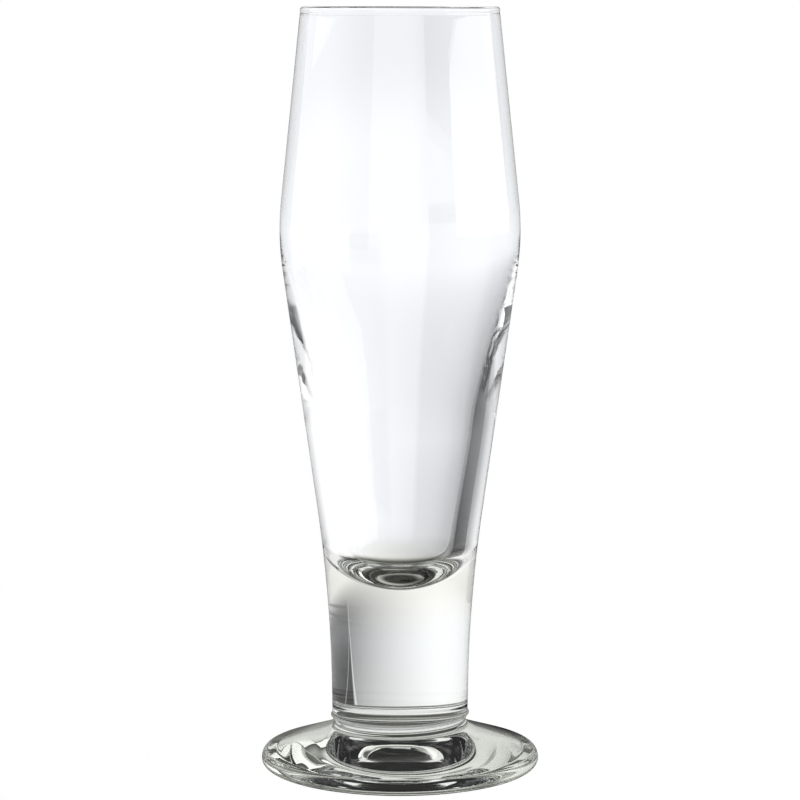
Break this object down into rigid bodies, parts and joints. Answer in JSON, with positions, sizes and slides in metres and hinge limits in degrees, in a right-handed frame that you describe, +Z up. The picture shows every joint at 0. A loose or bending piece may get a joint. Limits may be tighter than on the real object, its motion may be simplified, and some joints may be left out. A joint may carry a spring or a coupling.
{
  "type": "pilsner glass",
  "caption": "Tall clear beer glass: tapered bowl with a soft waist, thick lower wall, short solid stem and a low round foot.",
  "frame": {"origin": "centre of the foot at table level", "axes": "+Z up along the glass's axis of revolution, towards the mouth; X and Y are alike"},
  "size_m": [0.0778, 0.0778, 0.212],
  "materials": {
    "bowl_glass": "clear blown glass, fire polished, faint vertical striae",
    "stem_glass": "clear solid glass, fire polished, faint drawn lines",
    "wafer_glass": "clear glass, fused joint with a soft bead",
    "foot_glass": "clear pressed glass, fire polished, slightly uneven edge"
  },
  "bodies": {
    "root": {"bowl": "bowl_glass", "stem": "stem_glass", "wafer": "wafer_glass", "foot": "foot_glass"}
  },
  "joints": []
}
